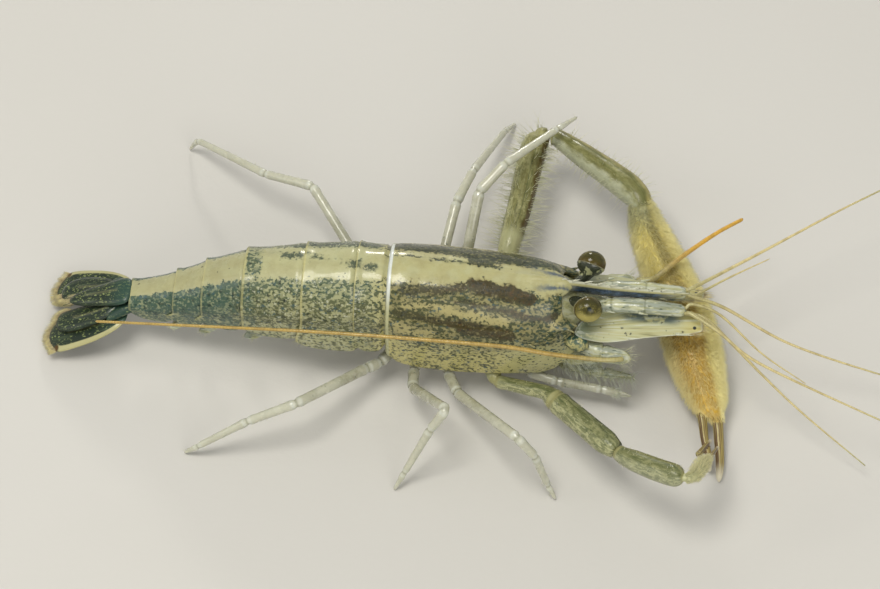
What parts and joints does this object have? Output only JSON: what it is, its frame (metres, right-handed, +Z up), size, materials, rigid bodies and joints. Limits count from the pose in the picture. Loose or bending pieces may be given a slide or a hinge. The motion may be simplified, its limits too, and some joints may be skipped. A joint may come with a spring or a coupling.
{
  "type": "shrimp",
  "caption": "Freshwater prawn model standing on slender legs: long jointed body, tail fan, stalked eyes, feelers, and unlike claws, one long and velvety.",
  "frame": {"origin": "on the floor, under the middle of the whole animal's bounding box", "axes": "+X towards the head, +Y towards the animal's left side, +Z up"},
  "size_m": [0.0842, 0.0462, 0.0138],
  "materials": {
    "shell": "glossy, speckled, slightly see-through shell",
    "rear_shell": "glossy, bluish speckled shell",
    "tail_fan": "dark speckled blades with pale clear margins",
    "clear_shell": "thin, nearly clear shell",
    "cornea": "polished bronze-brown globe",
    "leg": "smooth, whitish, slightly see-through",
    "arm": "olive mottled shell",
    "velvet": "dense amber velvet over shell",
    "finger": "bare brown finger",
    "feeler_gold": "fine golden whip",
    "feeler_pale": "fine pale whip"
  },
  "bodies": {
    "root": {"carapace": "shell", "rostrum": "shell", "abdomen_1": "shell", "abdomen_2": "shell", "abdomen_3": "shell", "eyestalk_left": "shell", "eyestalk_right": "shell", "antenna_stalk_left": "shell", "antenna_stalk_right": "shell", "abdomen_4": "rear_shell", "abdomen_5": "rear_shell", "abdomen_6": "rear_shell", "telson": "tail_fan", "tail_endopod_left": "tail_fan", "tail_endopod_right": "tail_fan", "tail_exopod_left": "tail_fan", "tail_exopod_right": "tail_fan", "antennule_stalk_left": "clear_shell", "antennule_stalk_right": "clear_shell", "antennal_scale_left": "clear_shell", "antennal_scale_right": "clear_shell", "maxilliped_left": "clear_shell", "maxilliped_right": "clear_shell", "eye_left": "cornea", "eye_right": "cornea", "leg_3_left": "leg", "leg_3_right": "leg", "leg_4_left": "leg", "leg_4_right": "leg", "leg_5_left": "leg", "leg_5_right": "leg", "small_claw_left": "leg", "small_claw_right": "leg", "swimmeret_1_left": "leg", "swimmeret_1_right": "leg", "swimmeret_2_left": "leg", "swimmeret_2_right": "leg", "swimmeret_3_left": "leg", "swimmeret_3_right": "leg", "swimmeret_4_left": "leg", "swimmeret_4_right": "leg", "swimmeret_5_left": "leg", "swimmeret_5_right": "leg", "big_arm": "arm", "second_arm": "arm", "big_wrist": "arm", "second_wrist": "arm", "big_palm": "velvet", "second_palm": "velvet", "big_finger": "finger", "second_finger": "finger", "antenna_left": "feeler_gold", "antenna_right": "feeler_gold", "antennule_outer_left": "feeler_pale", "antennule_outer_right": "feeler_pale", "antennule_middle_left": "feeler_pale", "antennule_middle_right": "feeler_pale", "antennule_inner_left": "feeler_pale", "antennule_inner_right": "feeler_pale"}
  },
  "joints": []
}
